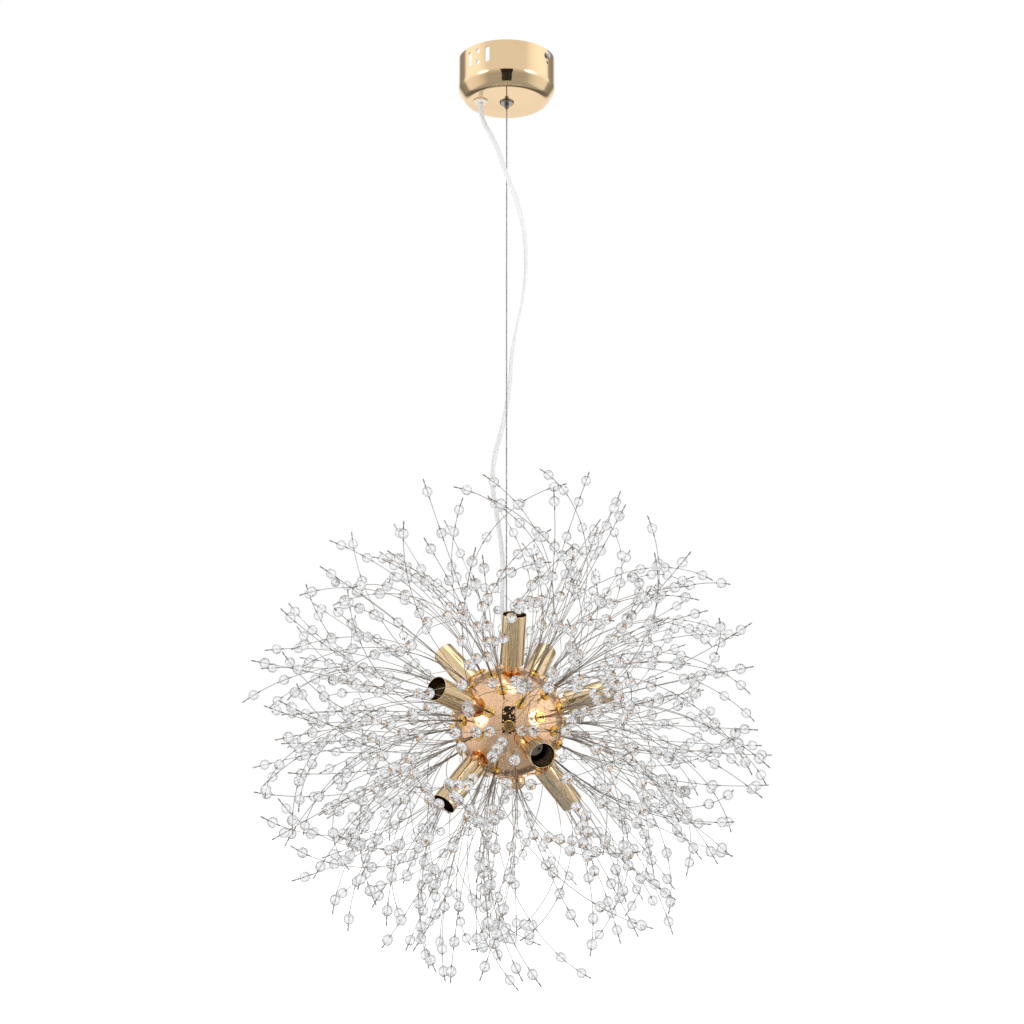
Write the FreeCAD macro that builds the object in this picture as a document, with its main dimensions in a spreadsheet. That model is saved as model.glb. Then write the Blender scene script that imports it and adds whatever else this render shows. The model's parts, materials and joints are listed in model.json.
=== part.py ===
"""Crystal firework pendant: canopy, cable, power cord, and a hub with nine lamp cups and beaded wire sprays.

The frame: the ceiling is z = 0, the suspension cable hangs on the Z axis, and the front faces -Y. Millimetres.
"""

import FreeCAD, Part
import functools
import itertools
import math
import os
import random
import re
import Sketcher

Vector, Rotation, Placement = FreeCAD.Vector, FreeCAD.Rotation, FreeCAD.Placement
UP = Vector(0, 0, 1)
ORIGIN = Vector(0, 0, 0)
DOWNWARD = Rotation(Vector(1, 0, 0), 180)

SIZES = {
    # canopy cover
    "canopy_radius": 50,
    "canopy_height": 45,
    "canopy_wall": 1,
    "face_radius": 42,
    "bevel_height": 12.5,
    "edge_round": 8,
    "slot_width": 5,
    "slot_length": 16,
    "slot_drop": 13.6,
    "slot_spread": 12.5,
    "vent_radius": 2.5,
    "vent_pitch": 11.7,
    "slots_azimuth": -125.5,
    "side_screw_azimuth": -34,
    "side_screw_drop": 6.5,
    "spare_hole_drop": 7.5,
    "spare_hole_radius": 1.5,
    # ceiling bracket and what it carries
    "bracket_width": 14,
    "bracket_thickness": 1.5,
    "lug_height": 13,
    "lug_gap": 1.3,
    "ceiling_hole_pcd": 60,
    "ceiling_hole_radius": 2.25,
    "screw_radius": 1.95,
    "screw_head_radius": 3.5,
    "screw_head_height": 2.4,
    "screw_length": 8,
    "block_length": 24,
    "block_width": 12,
    "block_height": 13,
    "block_place": -15,
    "earth_place": 12,
    "way_radius": 1.8,
    "way_pitch": 8,
    "clamp_hole_radius": 1.2,
    "small_screw_radius": 1.35,
    "lead_radius": 1.2,
    "lead_pitch": 2.8,
    "lead_rise": 9,
    "lead_approach": 7,
    "lead_depth": 3,
    # cable gripper
    "cable_radius": 0.75,
    "gripper_flange_radius": 7.5,
    "gripper_flange_height": 1.6,
    "gripper_thread_radius": 4.95,
    "gripper_height": 18,
    "chamber_radius": 3.4,
    "chamber_floor": 1,
    "nipple_radius": 2.25,
    "nipple_length": 5,
    "plunger_head": 3,
    "gripper_cap_height": 3,
    "washer_height": 1.5,
    "nut_height": 5,
    "nut_corner_radius": 8.1,
    "spring_wire_radius": 0.3,
    "spring_turns": 6,
    # power cord and its bushings
    "cord_radius": 2.5,
    "bushing_flange_radius": 7.5,
    "bushing_flange_height": 2,
    "bushing_radius": 4.9,
    "bushing_depth": 6,
    "cord_hole_radius": 1.9,
    # hub
    "drop": 636,
    "hub_shift": 2.2,
    "hub_radius": 55,
    "shell_wall": 1.2,
    "cap_radius": 12,
    "cap_height": 2.6,
    "cap_spigot_radius": 10.9,
    "cap_spigot_depth": 2.2,
    "anchor_radius": 3.2,
    "anchor_height": 3,
    "anchor_thread_radius": 2.45,
    "anchor_nut_radius": 3.4,
    "anchor_nut_height": 4,
    "strap_length": 27,
    "strap_thickness": 2,
    "strap_front": 6.5,
    "ferrule_radius": 2,
    "ferrule_length": 7,
    "hub_bushing_radius": 2.4,
    "hub_bushing_flange": 2.75,
    "hub_bushing_height": 1.2,
    "junction_radius": 14,
    "port_radius": 16,
    "port_cover_radius": 18,
    "port_cover_wall": 1,
    "port_strap_length": 42,
    "port_strap_width": 8,
    "finial_radius": 8.4,
    "finial_rise": 2.4,
    "finial_tilt": 8,
    "stem_radius": 2.9,
    # lamp cups
    "cup_radius": 11.8,
    "cup_wall": 0.8,
    "cup_length": 50,
    "cup_heel": 0.8,
    "collar_radius": 7.2,
    "collar_height": 5,
    "collar_groove": 0.6,
    "lamp_thread_radius": 5,
    "lamp_bore_radius": 3.4,
    "lamp_nut_height": 4,
    "lamp_nut_corner_radius": 7.5,
    "holder_radius": 8.5,
    "holder_length": 20,
    "holder_socket": 2.5,
    "pin_hole_radius": 1.4,
    "pin_hole_pitch": 9,
    "pin_hole_depth": 12,
    "lamp_lead_radius": 1.6,
    # sprays
    "grommet_places": 68,
    "grommet_flange_radius": 5.4,
    "grommet_flange_height": 1.6,
    "grommet_lip_height": 0.9,
    "grommet_radius": 4.2,
    "grommet_bore_radius": 3.1,
    "grommet_depth": 3,
    "bundle_ferrule_length": 8.5,
    "wires_per_bundle": 7,
    "spray_tiers": 5,
    "wire_radius": 0.3,
    "wire_gap": 0.1,
    "wire_reach": 256,
    "reach_spread": 62,
    "straight_least": 4,
    "straight_most": 16,
    "turn_least": 26,
    "turn_most": 120,
    "middle_least": 4,
    "middle_most": 42,
    "splay_swing": 45,
    "droop": 0.3,
    "bead_radius": 5,
    "bead_bore_radius": 0.5,
    "tip_length": 13,
    "bead_spacing": 22,
    "spacing_spread": 28,
    # clearances
    "fit_gap": 0.1,
    "seat_gap": 0.05,
    "spray_gap": 1.2,
    # how far the cutters of thin walls reach, half on each side
    "cutter_length": 10,
}

# Each lamp cup's aim: azimuth from +X towards +Y, then elevation, in degrees.
CUP_AIMS = [
    (-82, 68),
    (141, 39.5),
    (-129, 16),
    (63, 41),
    (8, 17.5),
    (-73, -16),
    (35, -46),
    (-139, -43.5),
    (108, -17.5),
]

# The power cord's route from the canopy's bushing to the hub's, points chosen along its hang.
# Where a changed size moves a bushing, the heights stretch to meet it.
CORD_ROUTE = [
    (-27, -3.5, -47.1),
    (-27.2, -3.6, -57),
    (-23.5, -5.2, -70),
    (-10.5, -7.5, -94),
    (-0.5, -7.5, -126),
    (11, -6.5, -154),
    (19.5, -4, -191),
    (20, -1.5, -235),
    (12.5, 1, -275),
    (5, 4.5, -309),
    (3.5, 6.5, -345),
    (-3.5, 7.5, -386),
    (-13, 6.5, -417),
    (-14.5, 5.5, -449),
    (-8.5, 6.5, -483),
    (-3, 7.5, -523),
    (-4.5, 7, -560),
    (-3.2, 5.8, -593),
    (-2.2, 6.4, -623.21),
]

doc = FreeCAD.newDocument("crystal_pendant")
sheet = doc.addObject("Spreadsheet::Sheet", "Sizes")
for row, (alias, number) in enumerate(SIZES.items(), 1):
    sheet.set(f"A{row}", alias)
    sheet.set(f"B{row}", str(number))
    sheet.setAlias(f"B{row}", alias)
doc.recompute()

nodes = []


# ---- reading the sheet -------------------------------------------------------------------------------------


def bound(expression):
    """The expression with each size's word pointing at its cell."""
    return re.sub(r"[a-z][a-z_]+[a-z]", lambda w: "Sizes." + w[0] if w[0] in SIZES else w[0], str(expression))


@functools.lru_cache(maxsize=None)
def value(expression):
    return float(sheet.evalExpression(bound(expression)))


# ---- places ------------------------------------------------------------------------------------------------

CANOPY_FACE = Vector(0, 0, -value("canopy_height"))
HALF_BACK = Placement(Vector(0, 0, -value("cutter_length") / 2), Rotation())
BUSHING_SEAT = Vector(*CORD_ROUTE[0][:2], CANOPY_FACE.z)
HUB = Vector(value("hub_shift"), 0, -value("canopy_height + drop"))
TOP_POLE = UP
FINIAL_TILT = math.radians(value("finial_tilt"))
FINIAL_AIM = Vector(math.sin(FINIAL_TILT), 0, -math.cos(FINIAL_TILT))


def aim(azimuth, elevation):
    a, e = math.radians(azimuth), math.radians(elevation)
    return Vector(math.cos(e) * math.cos(a), math.cos(e) * math.sin(a), math.sin(e))


def pointing(direction, start=HUB, shift=0):
    """A placement whose Z runs along direction, shifted that far along it."""
    return Placement(start + direction * shift, Rotation(UP, direction))


def on_bracket(along, across=0, height=0):
    """A placement in the bracket's own frame, which is turned to face the side screws."""
    turn = Rotation(UP, value("side_screw_azimuth"))
    return Placement(turn.multVec(Vector(along, across, height)), turn)


def cup_directions():
    """The cups' aims, where a steep one leans out as far as the top cap and its own nut need."""
    room = value("(cap_radius + lamp_nut_corner_radius + fit_gap) / hub_radius")
    steepest = math.degrees(math.acos(room))
    return [aim(azimuth, min(elevation, steepest)) for azimuth, elevation in CUP_AIMS]


CUPS = cup_directions()

# ---- builders ----------------------------------------------------------------------------------------------


def node(thing):
    """Marks an object as a sub-part: its label is its file's name."""
    nodes.append(thing)
    return thing


def primitive(kind, name, place=None, **sizes):
    thing = doc.addObject("Part::" + kind, name)
    for prop, expression in sizes.items():
        thing.setExpression(prop, bound(expression))
    if place:
        thing.Placement = place
    return thing


def joined(name, *things):
    fuse = doc.addObject("Part::MultiFuse", name)
    fuse.Shapes = list(things)
    return fuse


def cut(name, base, *tools):
    """The base less the tools."""
    result = doc.addObject("Part::Cut", name)
    result.Base = base
    result.Tool = tools[0] if len(tools) == 1 else joined(name + "_tools", *tools)
    return result


def turned(name, outline, place=None):
    """A body turned about its own Z axis from an outline of (radius, height) expressions."""
    body = doc.addObject("PartDesign::Body", name)
    sketch = body.newObject("Sketcher::SketchObject", name + "_outline")
    plane = next(f for f in body.Origin.OriginFeatures if f.Role == "XZ_Plane")
    sketch.AttachmentSupport = (plane, [""])
    sketch.MapMode = "FlatFace"
    corners = [Vector(value(x), value(y), 0) for x, y in outline]
    for corner, following in zip(corners, corners[1:] + corners[:1]):
        sketch.addGeometry(Part.LineSegment(corner, following))
    for i, (corner, words) in enumerate(zip(corners, outline)):
        sketch.addConstraint(Sketcher.Constraint("Coincident", i, 2, (i + 1) % len(corners), 1))
        for kind, number, expression in zip(("DistanceX", "DistanceY"), corner, words):
            index = sketch.addConstraint(Sketcher.Constraint(kind, -1, 1, i, 1, number))
            sketch.setExpression(f"Constraints[{index}]", bound(expression))
    turn = body.newObject("PartDesign::Revolution", name + "_turn")
    turn.Profile = sketch
    turn.ReferenceAxis = (sketch, ["V_Axis"])
    turn.Angle = 360
    body.Tip = turn
    if place:
        body.Placement = place
    return body


def tube(inner, outer, low, high):
    """The outline of a plain ring between two heights."""
    return [(inner, low), (outer, low), (outer, high), (inner, high)]


def copies(name, form, places):
    """One node of equal solids: the form, made at the origin, repeated at each place."""
    doc.recompute()
    return feature(name, Part.makeCompound([moved(form.Shape.Solids[0], place) for place in places]))


def moved(solid, place):
    copy = solid.copy()
    copy.Placement = place.multiply(copy.Placement)
    return copy


def rounded_path(points):
    """Straight runs through the points with a tangent arc at each: the wire and the arcs' radii."""
    edges, radii, start = [], [], points[0]
    for before, corner, after in zip(points, points[1:], points[2:]):
        back, ahead = before - corner, after - corner
        turn = math.pi - back.getAngle(ahead)
        trim = 0.45 * min(back.Length, ahead.Length)
        radii.append(trim / math.tan(turn / 2))
        first, last = corner + back.normalize() * trim, corner + ahead.normalize() * trim
        middle = (first + last) * 0.5 - corner
        inset = radii[-1] / math.cos(turn / 2) - radii[-1]
        edges += [Part.LineSegment(start, first), Part.Arc(first, corner + middle.normalize() * inset, last)]
        start = last
    edges.append(Part.LineSegment(start, points[-1]))
    return Part.Wire([edge.toShape() for edge in edges]), radii


def swept(path, radius):
    """A round tube of that radius along a path."""
    first = path.Edges[0]
    section = Part.makeCircle(radius, first.Vertexes[0].Point, first.tangentAt(first.FirstParameter))
    return path.makePipeShell([Part.Wire(section)], True, False)


def feature(name, shape):
    thing = doc.addObject("Part::Feature", name)
    thing.Shape = shape
    return node(thing)


# ---- canopy cover ------------------------------------------------------------------------------------------


def wall_place(azimuth, height):
    """On the canopy's wall, with Z pointing straight out."""
    return pointing(aim(azimuth, 0), Vector(0, 0, height), value("canopy_radius"))


def wall_hole(name, azimuth, height, radius):
    """A round cutter through the canopy's wall."""
    place = wall_place(azimuth, height).multiply(HALF_BACK)
    return primitive("Cylinder", name, place, Radius=radius, Height="cutter_length")


def slot_cutter(name, azimuth):
    half = value("slot_length - slot_width") / 2
    ends = [
        wall_hole(f"{name}_end_{i}", azimuth, -value("slot_drop") + side * half, "slot_width / 2")
        for i, side in enumerate((-1, 1))
    ]
    sides = {"Length": "cutter_length", "Width": "slot_width", "Height": "slot_length - slot_width"}
    middle = primitive("Box", name + "_middle", **sides)
    inside = value("canopy_radius - cutter_length / 2")
    corner = Vector(inside, -value("slot_width") / 2, -value("slot_drop") - half)
    turn = Rotation(UP, azimuth)
    middle.Placement = Placement(turn.multVec(corner), turn)
    return [*ends, middle]


def dish(name, radius, face_radius, low, shoulder, rounding):
    """A solid turned dish, open side up at the ceiling, with its two outer corners rounded."""
    spun = turned(name, [("0", low), (face_radius, low), (radius, shoulder), (radius, "0"), ("0", "0")])
    doc.recompute()
    plain = spun.Tip
    corners = [value(face_radius), value(radius)]
    rims = [
        f"Edge{i}"
        for i, edge in enumerate(plain.Shape.Edges, 1)
        if isinstance(edge.Curve, Part.Circle)
        and edge.Curve.Center.z < -0.01
        and min(abs(edge.Curve.Radius - r) for r in corners) < 0.01
    ]
    fillet = spun.newObject("PartDesign::Fillet", name + "_rounding")
    fillet.Base = (plain, rims)
    fillet.setExpression("Radius", bound(rounding))
    spun.Tip = fillet
    return spun


def canopy_cover():
    lean = "atan((canopy_radius - face_radius) / bevel_height)"
    outside = dish(
        "canopy_outside",
        "canopy_radius",
        "face_radius",
        "-canopy_height",
        "-canopy_height + bevel_height",
        "edge_round",
    )
    inside = dish(
        "canopy_inside",
        "canopy_radius - canopy_wall",
        f"face_radius - canopy_wall * (1 - sin({lean})) / cos({lean})",
        "-canopy_height + canopy_wall",
        f"-canopy_height + bevel_height + canopy_wall * tan({lean} / 2)",
        "edge_round - canopy_wall",
    )
    azimuth, spread = value("slots_azimuth"), value("slot_spread")
    tools = [inside] + slot_cutter("left_slot", azimuth - spread) + slot_cutter("right_slot", azimuth + spread)
    for i, side in enumerate((-1, 1)):
        height = -value("slot_drop") + side * value("vent_pitch") / 2
        tools.append(wall_hole(f"vent_{i}", azimuth, height, "vent_radius"))
    for i, turn in enumerate((0, 180)):
        azimuth, height = value("side_screw_azimuth") + turn, -value("side_screw_drop")
        tools.append(wall_hole(f"side_hole_{i}", azimuth, height, "screw_radius + 3 * fit_gap"))
        tools.append(wall_hole(f"spare_hole_{i}", azimuth, height - value("spare_hole_drop"), "spare_hole_radius"))
    for name, seat, radius in (
        ("gripper_hole", CANOPY_FACE, "gripper_thread_radius + fit_gap"),
        ("bushing_hole", BUSHING_SEAT, "bushing_radius + fit_gap"),
    ):
        below = Placement(seat, Rotation()).multiply(HALF_BACK)
        tools.append(primitive("Cylinder", name, below, Radius=radius, Height="cutter_length"))
    return node(cut("canopy_cover", outside, *tools))


# ---- ceiling bracket, screws and terminal block -------------------------------------------------------------


def ceiling_bracket():
    reach = value("canopy_radius - canopy_wall - lug_gap")
    thick, wide = value("bracket_thickness"), value("bracket_width")
    length = "2 * (canopy_radius - canopy_wall - lug_gap)"
    bar_place = on_bracket(-reach, -wide / 2, -thick)
    bar = primitive("Box", "bar", bar_place, Length=length, Width="bracket_width", Height="bracket_thickness")
    lugs = [
        primitive(
            "Box",
            f"lug_{i}",
            on_bracket(along, -wide / 2, -value("lug_height")),
            Length="bracket_thickness",
            Width="bracket_width",
            Height="lug_height",
        )
        for i, along in enumerate((-reach, reach - thick))
    ]
    holes = [
        primitive(
            "Cylinder",
            name,
            on_bracket(along).multiply(HALF_BACK),
            Radius=radius,
            Height="cutter_length",
        )
        for name, along, radius in (
            ("ceiling_hole_0", -value("ceiling_hole_pcd") / 2, "ceiling_hole_radius"),
            ("ceiling_hole_1", value("ceiling_hole_pcd") / 2, "ceiling_hole_radius"),
            ("earth_hole", value("earth_place"), "screw_radius + seat_gap"),
            ("block_hole", value("block_place + way_pitch / 2"), "small_screw_radius + seat_gap"),
        )
    ]
    start = on_bracket(-value("canopy_radius"), 0, -value("side_screw_drop"))
    lug_hole_place = start.multiply(pointing(Vector(1, 0, 0), ORIGIN))
    lug_holes = primitive("Cylinder", "lug_holes", lug_hole_place, Radius="screw_radius + seat_gap")
    lug_holes.setExpression("Height", bound("2 * canopy_radius"))
    holes.append(lug_holes)
    return node(cut("ceiling_bracket", joined("bent_bar", bar, *lugs), *holes))


def pan_screw(name, radius, head_radius, length, place=None):
    """A pan-head screw with its seat at its own z = 0 and its shank below."""
    return turned(
        name,
        [
            ("0", f"-({length})"),
            (f"{radius} - 0.4", f"-({length})"),
            (radius, f"-({length}) + 0.4"),
            (radius, "0"),
            (head_radius, "0"),
            (head_radius, "screw_head_height * 0.5"),
            (f"{head_radius} * 0.7", "screw_head_height"),
            ("0", "screw_head_height"),
        ],
        place,
    )


def canopy_fasteners():
    form = pan_screw("side_screw_form", "screw_radius", "screw_head_radius", "screw_length")
    azimuth = value("side_screw_azimuth")
    seat = Placement(Vector(0, 0, value("seat_gap")), Rotation())
    places = [wall_place(azimuth + turn, -value("side_screw_drop")).multiply(seat) for turn in (0, 180)]
    copies("side_screws", form, places)
    under = -value("bracket_thickness + seat_gap")
    place = on_bracket(value("earth_place"), 0, under).multiply(Placement(ORIGIN, DOWNWARD))
    node(pan_screw("earth_screw", "screw_radius", "screw_head_radius", "bracket_thickness", place))
    under -= value("block_height + seat_gap")
    place = on_bracket(value("block_place + way_pitch / 2"), 0, under).multiply(Placement(ORIGIN, DOWNWARD))
    length = "block_height + bracket_thickness"
    node(pan_screw("terminal_block_screw", "small_screw_radius", "small_screw_radius + 1", length, place))


def terminal_block():
    low = -value("bracket_thickness + seat_gap + block_height")
    start = value("block_place - block_length / 2")
    place = on_bracket(start, -value("block_width") / 2, low)
    block = primitive("Box", "block", place, Length="block_length", Width="block_width", Height="block_height")
    middle = low + value("block_height") / 2
    ways = []
    for i in (-1, 0, 1):
        along = value(f"block_place + {i} * way_pitch")
        place = on_bracket(along, -value("block_width"), middle).multiply(pointing(Vector(0, 1, 0), ORIGIN))
        ways.append(primitive("Cylinder", f"way_{i + 1}", place, Radius="way_radius", Height="2 * block_width"))
        place, clamp = on_bracket(along, 0, low - 1), f"clamp_hole_{i + 1}"
        ways.append(primitive("Cylinder", clamp, place, Radius="clamp_hole_radius", Height="block_height / 2"))
    place = on_bracket(value("block_place + way_pitch / 2"), 0, low - 1)
    hole = primitive("Cylinder", "block_bore", place, Radius="small_screw_radius + seat_gap")
    hole.setExpression("Height", bound("block_height + 2"))
    return node(cut("terminal_block", block, *ways, hole))


def mains_leads():
    """The cord's two conductors inside the canopy, from its bushing into the block's outer ways."""
    bushing_top = CANOPY_FACE.z + value("bushing_depth + 4 * fit_gap")
    mouth_height = -value("bracket_thickness + seat_gap + block_height / 2")
    middle = Vector(BUSHING_SEAT.x + 0.3, BUSHING_SEAT.y, bushing_top)
    leads = []
    for side in (-1, 1):
        along, front = value(f"block_place + {side} * way_pitch"), -value("block_width") / 2
        mouth = on_bracket(along, front + value("lead_depth"), mouth_height).Base
        outside = on_bracket(along, front - value("lead_approach"), mouth_height - 1).Base
        foot = middle + Vector(side * value("lead_pitch") / 2, 0, 0)
        bend = foot + Vector(1 + side, 1, value("lead_rise"))
        leads.append(swept(rounded_path([foot, bend, outside, mouth])[0], value("lead_radius")))
    return feature("mains_leads", Part.makeCompound(leads))


# ---- cable gripper -------------------------------------------------------------------------------------------


def gripper():
    place = Placement(CANOPY_FACE, Rotation())
    node(
        turned(
            "gripper_body",
            [
                ("nipple_radius + fit_gap", "-gripper_flange_height - seat_gap"),
                ("gripper_flange_radius - 0.6", "-gripper_flange_height - seat_gap"),
                ("gripper_flange_radius", "-gripper_flange_height - seat_gap + 0.6"),
                ("gripper_flange_radius", "-seat_gap"),
                ("gripper_thread_radius", "-seat_gap"),
                ("gripper_thread_radius", "gripper_height"),
                ("chamber_radius", "gripper_height"),
                ("chamber_radius", "chamber_floor"),
                ("nipple_radius + fit_gap", "chamber_floor"),
            ],
            place,
        )
    )
    node(
        turned(
            "gripper_plunger",
            [
                ("cable_radius + 2 * fit_gap", "-gripper_flange_height - nipple_length"),
                ("nipple_radius - 0.5", "-gripper_flange_height - nipple_length"),
                ("nipple_radius", "-gripper_flange_height - nipple_length + 0.5"),
                ("nipple_radius", "chamber_floor + fit_gap"),
                ("chamber_radius - 2 * fit_gap", "chamber_floor + fit_gap"),
                ("chamber_radius - 2 * fit_gap", "chamber_floor + plunger_head"),
                ("cable_radius + 2 * fit_gap", "chamber_floor + plunger_head"),
            ],
            place,
        )
    )
    low = "gripper_height - gripper_cap_height"
    ring = tube("cable_radius + 2 * fit_gap", "chamber_radius - seat_gap", low, "gripper_height")
    node(turned("gripper_cap", ring, place))
    ring = tube(
        "gripper_thread_radius + fit_gap",
        "nut_corner_radius + 1",
        "canopy_wall + seat_gap",
        "canopy_wall + seat_gap + washer_height",
    )
    node(turned("gripper_washer", ring, place))
    low = value("canopy_wall + 2 * seat_gap + washer_height")
    node(hex_nut("gripper_nut", "nut_corner_radius", "nut_height", "gripper_thread_radius + seat_gap", place, low))
    low = value("chamber_floor + plunger_head + fit_gap + spring_wire_radius")
    high = value("gripper_height - gripper_cap_height - fit_gap - spring_wire_radius")
    turns = value("spring_turns")
    helix = Part.makeHelix((high - low) / turns, high - low, value("chamber_radius - 3 * spring_wire_radius"))
    helix.translate(CANOPY_FACE + UP * low)
    feature("gripper_spring", spring_solid(helix))
    tail_low = value("fit_gap * 3 - gripper_flange_height - nipple_length")
    tail_place = Placement(CANOPY_FACE + UP * tail_low, Rotation())
    height = "gripper_height + gripper_flange_height + nipple_length + 8"
    node(primitive("Cylinder", "cable_tail", tail_place, Radius="cable_radius", Height=height))


def spring_solid(helix):
    start = helix.Edges[0]
    section = Part.makeCircle(
        value("spring_wire_radius"), start.Vertexes[0].Point, start.tangentAt(start.FirstParameter)
    )
    return Part.Wire(helix.Edges).makePipeShell([Part.Wire(section)], True, True)


def hex_nut(name, corner_radius, height, bore, place, low):
    place = place.multiply(Placement(UP * low, Rotation()))
    prism = primitive("Prism", name + "_blank", place, Circumradius=corner_radius, Height=height)
    prism.Polygon = 6
    return cut(name, prism, primitive("Cylinder", name + "_bore", place, Radius=bore, Height=height))


# ---- cable, power cord and their seats ------------------------------------------------------------------------


def suspension():
    top = CANOPY_FACE.z - value("gripper_flange_height + nipple_length + 2 * fit_gap")
    bottom = HUB.z + value(ANCHOR_FOOT + " - ferrule_length + 1")
    place = Placement(Vector(0, 0, bottom), Rotation())
    cable = primitive("Cylinder", "suspension_cable", place, Radius="cable_radius")
    cable.Height = top - bottom
    node(cable)


def cord_bushing(name, flange_radius, flange_height, radius, depth, seat, upward):
    """A flanged bushing whose flange lies on its seat, and whose barrel goes through the hole behind it."""
    outline = [
        ("cord_hole_radius", f"-({depth})"),
        (f"{radius} - 0.3", f"-({depth})"),
        (radius, f"-({depth}) + 0.3"),
        (radius, "seat_gap"),
        (flange_radius, "seat_gap"),
        (flange_radius, f"{flange_height} * 0.6"),
        (f"{flange_radius} - {flange_height} * 0.4", flange_height),
        ("cord_hole_radius", flange_height),
    ]
    return node(turned(name, outline, Placement(seat, Rotation() if upward else DOWNWARD)))


def cord_route():
    """The cord's points, stretched in height so that both ends meet their bushings."""
    first, last = CORD_ROUTE[0][2], CORD_ROUTE[-1][2]
    top = CANOPY_FACE.z - value("bushing_flange_height + fit_gap")
    bottom = HUB.z + value(CAP_TOP + " + hub_bushing_height + fit_gap")
    return [Vector(x, y, top + (z - first) * (bottom - top) / (last - first)) for x, y, z in CORD_ROUTE]


def power_cord():
    path, radii = rounded_path(cord_route())
    solid = swept(path, value("cord_radius"))
    expected = math.pi * value("cord_radius") ** 2 * path.Length
    print("power_cord: radii", [round(r) for r in radii], "length", round(path.Length, 1))
    print("power_cord: volume over section times length", round(solid.Volume / expected, 5))
    return feature("power_cord", solid)


# ---- hub -------------------------------------------------------------------------------------------------------

RIM_HEIGHT = "sqrt(hub_radius^2 - (cap_spigot_radius + fit_gap)^2)"
CAP_EDGE = "sqrt(hub_radius^2 - cap_radius^2) + 0.1"
CAP_TOP = RIM_HEIGHT + " + cap_height"
STRAP_TOP = "(sqrt((hub_radius - shell_wall)^2 - (strap_length / 2)^2 - strap_front^2) - fit_gap)"
ANCHOR_FOOT = STRAP_TOP + " - strap_thickness - anchor_nut_height - 1"
STRAP_BACK = f"({CORD_ROUTE[-1][1]} - cord_radius - fit_gap)"
LOCAL_CABLE = Vector(-HUB.x, 0, 0)
LOCAL_CORD = Vector(CORD_ROUTE[-1][0] - HUB.x, CORD_ROUTE[-1][1], 0)


def over_hub(local):
    return Placement(HUB + local, Rotation())


def hub_top():
    blank = turned(
        "cap_blank",
        [
            ("0", CAP_EDGE + " - cap_spigot_depth"),
            ("cap_spigot_radius", CAP_EDGE + " - cap_spigot_depth"),
            ("cap_spigot_radius", RIM_HEIGHT + " + fit_gap"),
            ("cap_radius", CAP_EDGE),
            ("cap_radius", CAP_TOP + " - 1"),
            ("cap_radius - 1", CAP_TOP),
            ("0", CAP_TOP),
        ],
        over_hub(ORIGIN),
    )
    anchor_hole = primitive(
        "Cylinder", "anchor_hole", over_hub(LOCAL_CABLE), Radius="anchor_thread_radius + fit_gap", Height="2 * hub_radius"
    )
    cord_hole = primitive(
        "Cylinder", "cord_hole", over_hub(LOCAL_CORD), Radius="hub_bushing_radius + seat_gap", Height="2 * hub_radius"
    )
    node(cut("hub_top_cap", blank, anchor_hole, cord_hole))
    seat = CAP_TOP + " + seat_gap"
    node(
        turned(
            "hub_anchor",
            [
                ("cable_radius + 2 * fit_gap", ANCHOR_FOOT),
                ("anchor_thread_radius", ANCHOR_FOOT),
                ("anchor_thread_radius", seat),
                ("anchor_radius", seat),
                ("anchor_radius", seat + " + anchor_height"),
                ("anchor_radius * 0.6", seat + " + anchor_height * 2"),
                ("cable_radius + 2 * fit_gap", seat + " + anchor_height * 2"),
            ],
            over_hub(LOCAL_CABLE),
        )
    )
    under = STRAP_TOP + " - strap_thickness - seat_gap"
    ring = tube("anchor_thread_radius + seat_gap", "anchor_nut_radius", under + " - anchor_nut_height", under)
    node(turned("hub_anchor_nut", ring, over_hub(LOCAL_CABLE)))
    corner = Vector(-value("strap_length") / 2, -value("strap_front"), value(STRAP_TOP) - value("strap_thickness"))
    bar = primitive(
        "Box",
        "strap_bar",
        over_hub(corner),
        Length="strap_length",
        Width="strap_front + " + STRAP_BACK,
        Height="strap_thickness",
    )
    hole = primitive(
        "Cylinder", "strap_hole", over_hub(LOCAL_CABLE), Radius="anchor_thread_radius + fit_gap", Height="hub_radius"
    )
    node(cut("hub_strap", bar, hole))
    top = ANCHOR_FOOT + " - fit_gap"
    ring = tube("cable_radius + 0.03", "ferrule_radius", top + " - ferrule_length", top)
    node(turned("cable_ferrule", ring, over_hub(LOCAL_CABLE)))
    seat = HUB + LOCAL_CORD + UP * value(CAP_TOP)
    depth = f"({CAP_TOP}) - ({CAP_EDGE}) + cap_spigot_depth"
    flange = ("hub_bushing_flange", "hub_bushing_height")
    cord_bushing("hub_cord_bushing", *flange, "hub_bushing_radius", depth, seat, True)
    low = value("junction_radius") - 0.5
    place = over_hub(LOCAL_CORD + UP * low)
    tail = primitive("Cylinder", "cord_tail", place, Radius="cord_radius")
    tail.setExpression("Height", bound(f"{CAP_EDGE} - cap_spigot_depth - fit_gap - junction_radius + 0.5"))
    node(tail)
    node(primitive("Sphere", "junction_block", over_hub(ORIGIN), Radius="junction_radius"))


def hub_shell(places):
    outer = primitive("Sphere", "hub_outside", over_hub(ORIGIN), Radius="hub_radius")
    inner = primitive("Sphere", "hub_inside", over_hub(ORIGIN), Radius="hub_radius - shell_wall")
    tools = [inner]

    def bore(name, direction, radius):
        place = pointing(direction, HUB, value("hub_radius")).multiply(HALF_BACK)
        tools.append(primitive("Cylinder", name, place, Radius=radius, Height="cutter_length"))

    bore("top_opening", TOP_POLE, "cap_spigot_radius + fit_gap")
    bore("port_opening", FINIAL_AIM, "port_radius")
    for i, direction in enumerate(CUPS, 1):
        bore(f"lamp_opening_{i}", direction, "lamp_thread_radius + fit_gap")
    for i, direction in enumerate(places, 1):
        bore(f"grommet_opening_{i}", direction, "grommet_radius + fit_gap")
    return node(cut("hub_shell", outer, *tools))


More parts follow.
